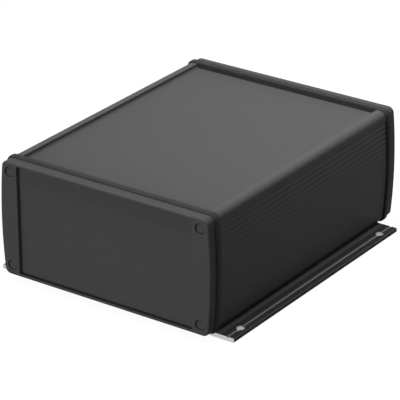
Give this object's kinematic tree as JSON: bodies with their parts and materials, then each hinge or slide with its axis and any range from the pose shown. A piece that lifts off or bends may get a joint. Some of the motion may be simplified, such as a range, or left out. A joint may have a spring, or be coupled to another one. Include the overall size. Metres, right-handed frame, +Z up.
{
  "type": "extruded aluminium enclosure",
  "caption": "Dark grey extruded aluminium electronics case with bowed grooved sides, side mounting flanges, framed end panels, black gaskets and capped corner screws.",
  "frame": {"origin": "middle of the footprint, on the surface that the flanges rest on", "axes": "X across the case, +Y from the front end to the rear end along the extrusion, +Z up"},
  "size_m": [0.1886, 0.2236, 0.0885],
  "materials": {
    "profile": "dark grey anodised, satin, with bare metal on the cut flange ends and in the flange holes",
    "frame": "dark grey powder coat, fine satin",
    "panel": "dark grey powder coat, fine satin",
    "gasket": "black moulded rubber",
    "screw": "stainless steel",
    "cap": "dark grey matt plastic"
  },
  "bodies": {
    "root": {"profile_body": "profile", "front_frame": "frame", "front_panel": "panel", "front_gasket": "gasket", "front_screw_bottom_left": "screw", "front_screw_bottom_right": "screw", "front_screw_top_left": "screw", "front_screw_top_right": "screw", "front_cap_bottom_left": "cap", "front_cap_bottom_right": "cap", "front_cap_top_left": "cap", "front_cap_top_right": "cap", "rear_frame": "frame", "rear_panel": "panel", "rear_gasket": "gasket", "rear_screw_bottom_left": "screw", "rear_screw_bottom_right": "screw", "rear_screw_top_left": "screw", "rear_screw_top_right": "screw", "rear_cap_bottom_left": "cap", "rear_cap_bottom_right": "cap", "rear_cap_top_left": "cap", "rear_cap_top_right": "cap"}
  },
  "joints": []
}
